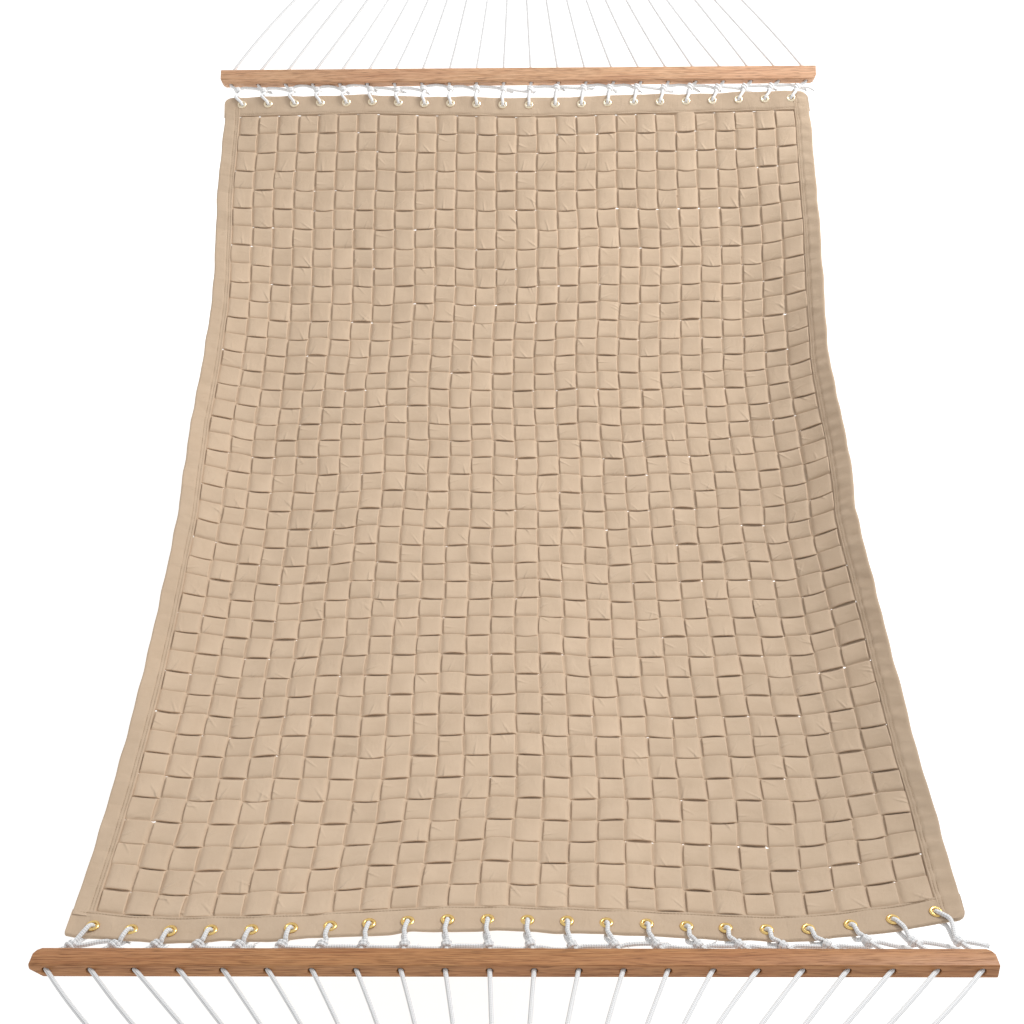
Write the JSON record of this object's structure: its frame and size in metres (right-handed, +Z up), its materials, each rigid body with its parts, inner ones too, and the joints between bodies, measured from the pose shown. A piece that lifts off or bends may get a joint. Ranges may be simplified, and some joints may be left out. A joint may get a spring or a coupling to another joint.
{
  "type": "woven spreader-bar hammock",
  "caption": "Flat-woven fabric hammock held open by a wooden spreader bar at each end, with rope fans gathered to steel rings on S-hooks.",
  "frame": {"origin": "middle of the foot S-hook's upper bowl, where the foot end hangs", "axes": "+X across the bed along the bars, +Y from the foot hook to the head hook, +Z up"},
  "size_m": [1.397, 3.6764, 0.8016],
  "materials": {
    "tan_weave": "matte tan basket weave of soft flat strips",
    "oak": "satin varnished hardwood with the grain along the bar",
    "white_rope": "matte braided polyester rope",
    "zinc_steel": "zinc plated",
    "brass": "polished rolled grommet"
  },
  "bodies": {
    "hooks": {"foot_s_hook": "zinc_steel", "head_s_hook": "zinc_steel"},
    "head_half": {"head_end_hem": "tan_weave", "head_left_side_hem": "tan_weave", "head_right_side_hem": "tan_weave", "head_ring": "zinc_steel", "head_rope_01": "white_rope", "head_rope_02": "white_rope", "head_rope_03": "white_rope", "head_rope_04": "white_rope", "head_rope_05": "white_rope", "head_rope_06": "white_rope", "head_rope_07": "white_rope", "head_rope_08": "white_rope", "head_rope_09": "white_rope", "head_rope_10": "white_rope", "head_rope_11": "white_rope", "head_rope_12": "white_rope", "head_rope_13": "white_rope", "head_rope_14": "white_rope", "head_rope_15": "white_rope", "head_rope_16": "white_rope", "head_rope_17": "white_rope", "head_rope_18": "white_rope", "head_rope_19": "white_rope", "head_rope_20": "white_rope", "head_rope_21": "white_rope", "head_rope_22": "white_rope", "head_rope_neck": "white_rope", "head_spreader_bar": "oak", "head_woven_panel": "tan_weave"},
    "foot_half": {"foot_end_hem": "tan_weave", "foot_left_side_hem": "tan_weave", "foot_right_side_hem": "tan_weave", "foot_ring": "zinc_steel", "foot_rope_01": "white_rope", "foot_rope_02": "white_rope", "foot_rope_03": "white_rope", "foot_rope_04": "white_rope", "foot_rope_05": "white_rope", "foot_rope_06": "white_rope", "foot_rope_07": "white_rope", "foot_rope_08": "white_rope", "foot_rope_09": "white_rope", "foot_rope_10": "white_rope", "foot_rope_11": "white_rope", "foot_rope_12": "white_rope", "foot_rope_13": "white_rope", "foot_rope_14": "white_rope", "foot_rope_15": "white_rope", "foot_rope_16": "white_rope", "foot_rope_17": "white_rope", "foot_rope_18": "white_rope", "foot_rope_19": "white_rope", "foot_rope_20": "white_rope", "foot_rope_21": "white_rope", "foot_rope_22": "white_rope", "foot_rope_neck": "white_rope", "foot_spreader_bar": "oak", "foot_woven_panel": "tan_weave"}
  },
  "joints": [
    {"name": "side_swing", "type": "hinge", "parent": "hooks", "child": "head_half", "pos_m": [0, 1.82058, -0.03671], "axis": [0, 1, 0], "range_deg": [-20, 20]},
    {"name": "twist", "type": "hinge", "parent": "head_half", "child": "foot_half", "pos_m": [0, 1.82058, -0.03671], "axis": [0, 1, 0], "range_deg": [-10, 10]}
  ]
}
